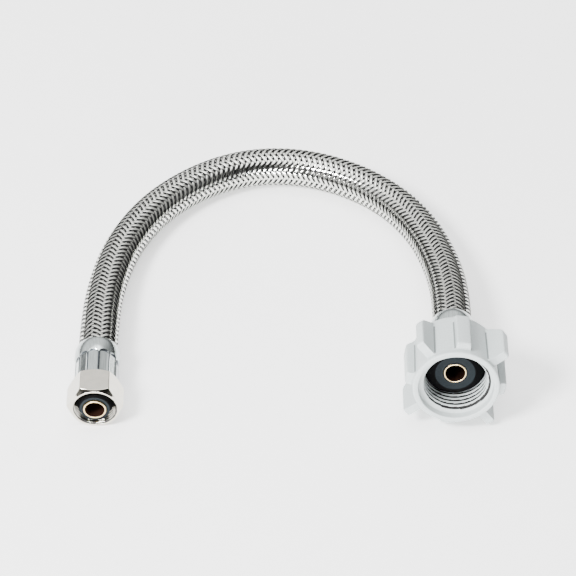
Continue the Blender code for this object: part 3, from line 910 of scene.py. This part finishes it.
brass = new_material("brass", (0.88, 0.67, 0.36), 0.25, 1.0, "machined")
# Painted shade: a near-black brown for the inserts' bores.
painted_bore_shade = new_material("painted_bore_shade", (0.016, 0.0055, 0.003), 0.7, 0.0, "machined", 0.1)
compression_insert = make_insert(
    "compression_end_insert",
    COMPRESSION_TIP_STATION,
    COMPRESSION_FLANGE_STATION,
    COMPRESSION_FLANGE_RADIUS,
    COMPRESSION_FERRULE_STATION,
    compression_end,
)
install(compression_insert, (brass, painted_bore_shade), "hose", "brass", "compression_insert")
ballcock_insert = make_insert(
    "ballcock_end_insert",
    BALLCOCK_TIP_STATION,
    BALLCOCK_FLANGE_STATION,
    BALLCOCK_FLANGE_RADIUS,
    BALLCOCK_FERRULE_STATION,
    ballcock_end,
)
install(ballcock_insert, (brass, painted_bore_shade), "hose", "brass", "ballcock_insert")

rubber = new_material("dark_rubber", (0.0085, 0.012, 0.0145), 0.7, 0.0, "rubbery", 0.12)
# Painted shade: a near-black copy of the washer's rubber for the cones.
shaded_cone_rubber = new_material("shaded_cone_rubber", (0.001, 0.001, 0.0013), 0.8, 0.0, "rubbery", 0.1)
compression_washer = make_washer(
    "compression_cone_washer",
    COMPRESSION_WASHER_STATIONS,
    COMPRESSION_WASHER_RADII,
    compression_end,
)
install(compression_washer, (rubber, shaded_cone_rubber), "hose", "dark_rubber", "compression_washer")
ballcock_washer = make_washer(
    "ballcock_cone_washer",
    BALLCOCK_WASHER_STATIONS,
    BALLCOCK_WASHER_RADII,
    ballcock_end,
)
install(ballcock_washer, (rubber, shaded_cone_rubber), "hose", "dark_rubber", "ballcock_washer")

ferrule_steel = new_material("ferrule_steel", (0.45, 0.49, 0.485), 0.18, 1.0, "drawn")
rib_shadow = new_material("rib_shadow", (0.07, 0.08, 0.09), 0.4, 1.0, "drawn")
compression_ferrule = make_ferrule("compression_end_ferrule", COMPRESSION_FERRULE_STATION, compression_end)
install(compression_ferrule, (ferrule_steel, rib_shadow), "hose", "ferrule_steel", "compression_ferrule")
ballcock_ferrule = make_ferrule("ballcock_end_ferrule", BALLCOCK_FERRULE_STATION, ballcock_end)
install(ballcock_ferrule, (ferrule_steel, rib_shadow), "hose", "ferrule_steel", "ballcock_ferrule")

plastic = new_material("grey_plastic", (0.46, 0.50, 0.50), 0.5, 0.0, "moulded")
# Painted shade: near black for the deeper part of the thread's grooves.
painted_groove_shade = new_material("painted_groove_shade", (0.025, 0.025, 0.025), 0.8, 0.0, "moulded", 0.1)
# Painted shade: a darker grey in the roots of the wings.
painted_crease_shade = new_material("painted_crease_shade", (0.17, 0.19, 0.19), 0.6, 0.0, "moulded")
plastics = (plastic, painted_groove_shade, painted_crease_shade)
wing_shell = make_wing_nut(ballcock_end)
wing_thread = make_wing_thread(ballcock_end)
paint(wing_shell, *plastics)
paint(wing_thread, *plastics)
wing_nut = join(wing_shell, wing_thread)
install(wing_nut, plastics, "wing_nut", "grey_plastic", "wing_nut")


# ---------------------------------------------------------------- stage

CAMERA_TARGET = Vector((0.6, 43.9, 6.4)) * MM
CAMERA_ELEVATION = math.radians(42.5)
CAMERA_DISTANCE = 1.2154
CAMERA_LENS = 228.1
CAMERA_SENSOR = 36.0
FLOOR_SIZE = 4.0
FLOOR_GLOW = 0.9
# Each lamp: its name, where it is, what it faces, its width and height, and its power in watts.
LAMPS = (
    ("front_strip", (-0.15, -1.1, 0.16), (0.0, 0.0, 0.02), (0.9, 0.18), 25.0),
    ("key", (-0.6, -0.5, 0.9), (0.0, 0.03, 0.0), (0.3, 0.3), 34.0),
)
# The studio's light, as spans of a direction's parts and the light at both ends of each span.
HORIZON_SPAN = (0.05, 0.45)
HORIZON_LIGHT = (0.2, 1.8)
SIDE_SPAN = (0.1, 0.8)
SIDE_LIGHT = (1.0, 0.25)
CEILING_SPAN = (0.84, 0.95)
CEILING_LIGHT = (0.0, 4.0)
DARK_SPAN = (0.5, 0.8)
DARK_LIGHT = (1.0, 0.01)


def make_floor():
    """A pale floor, which glows so that it comes out nearly white."""
    bpy.ops.mesh.primitive_plane_add(size=FLOOR_SIZE, location=(0.0, 0.0, 0.0))
    floor = bpy.context.object
    floor.name = "floor"
    white = new_material("floor_white", (0.9, 0.9, 0.9), 0.6, 0.0, "coated")
    shader = white.node_tree.nodes["Principled BSDF"]
    shader.inputs["Emission Color"].default_value = (1.0, 1.0, 1.0, 1.0)
    shader.inputs["Emission Strength"].default_value = FLOOR_GLOW
    paint(floor, white)


def make_light(name, location, target, size, power):
    """A rectangular lamp that faces a target."""
    light = bpy.data.lights.new(name, "AREA")
    light.shape = "RECTANGLE"
    light.size, light.size_y = size
    light.energy = power
    lamp = bpy.data.objects.new(name, light)
    lamp.location = location
    lamp.rotation_euler = (Vector(target) - Vector(location)).to_track_quat("-Z", "Y").to_euler()
    bpy.context.scene.collection.objects.link(lamp)


def make_world():
    """A grey studio, dark round the place the photo was taken from and bright overhead."""
    world = bpy.data.worlds.new("studio")
    world.use_nodes = True
    nodes = world.node_tree.nodes
    links = world.node_tree.links
    nodes["Background"].inputs["Color"].default_value = (1.0, 1.0, 1.0, 1.0)
    direction = nodes.new("ShaderNodeTexCoord")
    toward_camera = nodes.new("ShaderNodeVectorMath")
    toward_camera.operation = "DOT_PRODUCT"
    toward_camera.inputs[1].default_value = (0.0, -math.cos(CAMERA_ELEVATION), math.sin(CAMERA_ELEVATION))
    links.new(direction.outputs["Generated"], toward_camera.inputs[0])
    axes = nodes.new("ShaderNodeSeparateXYZ")
    links.new(direction.outputs["Generated"], axes.inputs[0])
    room = add_range(nodes, links, axes.outputs["Z"], HORIZON_SPAN, HORIZON_LIGHT)
    ceiling = add_range(nodes, links, axes.outputs["Z"], CEILING_SPAN, CEILING_LIGHT)
    dark = add_range(nodes, links, toward_camera.outputs["Value"], DARK_SPAN, DARK_LIGHT)
    side = add_range(nodes, links, axes.outputs["X"], SIDE_SPAN, SIDE_LIGHT)
    walls = nodes.new("ShaderNodeMath")
    walls.operation = "MULTIPLY"
    links.new(room, walls.inputs[0])
    links.new(side, walls.inputs[1])
    light = nodes.new("ShaderNodeMath")
    light.operation = "MULTIPLY_ADD"
    links.new(walls.outputs["Value"], light.inputs[0])
    links.new(dark, light.inputs[1])
    links.new(ceiling, light.inputs[2])
    links.new(light.outputs["Value"], nodes["Background"].inputs["Strength"])
    bpy.context.scene.world = world


def make_camera():
    """The camera, which looks along +Y and down at the elevation of the photo."""
    data = bpy.data.cameras.new("camera")
    data.lens = CAMERA_LENS
    data.sensor_width = CAMERA_SENSOR
    camera = bpy.data.objects.new("camera", data)
    back = Vector((0.0, -math.cos(CAMERA_ELEVATION), math.sin(CAMERA_ELEVATION)))
    camera.location = CAMERA_TARGET + back * CAMERA_DISTANCE
    camera.rotation_euler = (math.pi / 2 - CAMERA_ELEVATION, 0.0, 0.0)
    bpy.context.scene.collection.objects.link(camera)
    bpy.context.scene.camera = camera


make_floor()
for lamp in LAMPS:
    make_light(*lamp)
make_world()
make_camera()
